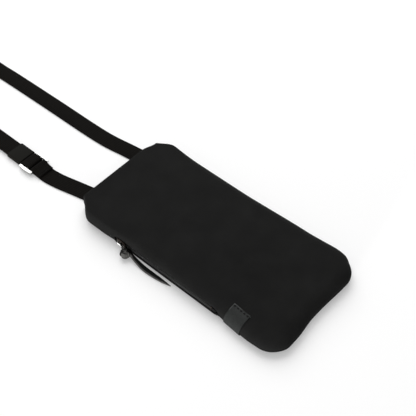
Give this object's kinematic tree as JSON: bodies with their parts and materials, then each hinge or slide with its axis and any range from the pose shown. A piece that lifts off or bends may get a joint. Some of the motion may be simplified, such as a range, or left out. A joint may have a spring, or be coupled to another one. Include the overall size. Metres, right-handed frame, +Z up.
{
  "type": "phone pouch",
  "caption": "Flat padded fabric phone pouch, open at one end, with a side zip, folded leather label, knotted pull and webbing shoulder strap with metal slider",
  "frame": {"origin": "centre of the flat back face that the pouch rests on", "axes": "+Y runs from the bottom seam to the mouth, +X to the side without the zip, +Z up out of the front"},
  "size_m": [0.1321, 0.4943, 0.0169],
  "materials": {
    "outer_cloth": "plain weave, near black, matte",
    "foam": "soft grey padding",
    "lining_cloth": "smooth thin lining, dark grey",
    "zip_tape": "black woven zip tape",
    "zip_teeth": "black moulded teeth",
    "zip_metal": "dark nickel",
    "pull_leather": "dark waxed leather lace",
    "label_leather": "grey leather, fine grain",
    "thread": "dark sewing thread",
    "webbing": "ribbed black webbing",
    "bright_metal": "bright polished metal",
    "keeper_band": "smooth dark elastic band"
  },
  "bodies": {
    "pouch": {"front_shell": "outer_cloth", "front_padding": "foam", "front_lining": "lining_cloth", "front_facing": "outer_cloth", "back_shell": "outer_cloth", "back_padding": "foam", "back_lining": "lining_cloth", "back_facing": "outer_cloth", "pocket_divider": "lining_cloth", "zip_tape_front": "zip_tape", "zip_tape_back": "zip_tape", "zip_teeth_front": "zip_teeth", "zip_teeth_back": "zip_teeth", "zip_top_stops": "zip_metal", "zip_bottom_stop": "zip_metal", "leather_label": "label_leather", "label_stitches": "thread", "anchor_stitches": "thread", "short_strap": "webbing", "short_strap_stitches": "thread", "strap_slider": "bright_metal", "strap_run_right": "webbing", "strap_coil": "webbing", "strap_run_left": "webbing", "strap_tie": "keeper_band"},
    "zip_runner": {"zip_slider": "zip_metal", "zip_slider_bail": "zip_metal"},
    "pull": {"leather_pull": "pull_leather"},
    "keeper": {"strap_keeper": "keeper_band"}
  },
  "joints": [
    {"name": "zip_slide", "type": "slide", "parent": "pouch", "child": "zip_runner", "axis": [0, -1, 0], "range_m": [0, 0.086], "deforming": ["zip_teeth_front", "zip_teeth_back"]},
    {"name": "pull_swing", "type": "hinge", "parent": "zip_runner", "child": "pull", "pos_m": [-0.0514, 0.0505, 0.0055], "axis": [0, 0, 1], "range_deg": [-135, 0]},
    {"name": "keeper_slide", "type": "slide", "parent": "pouch", "child": "keeper", "axis": [0, 1, 0], "range_m": [0, 0.035]}
  ]
}
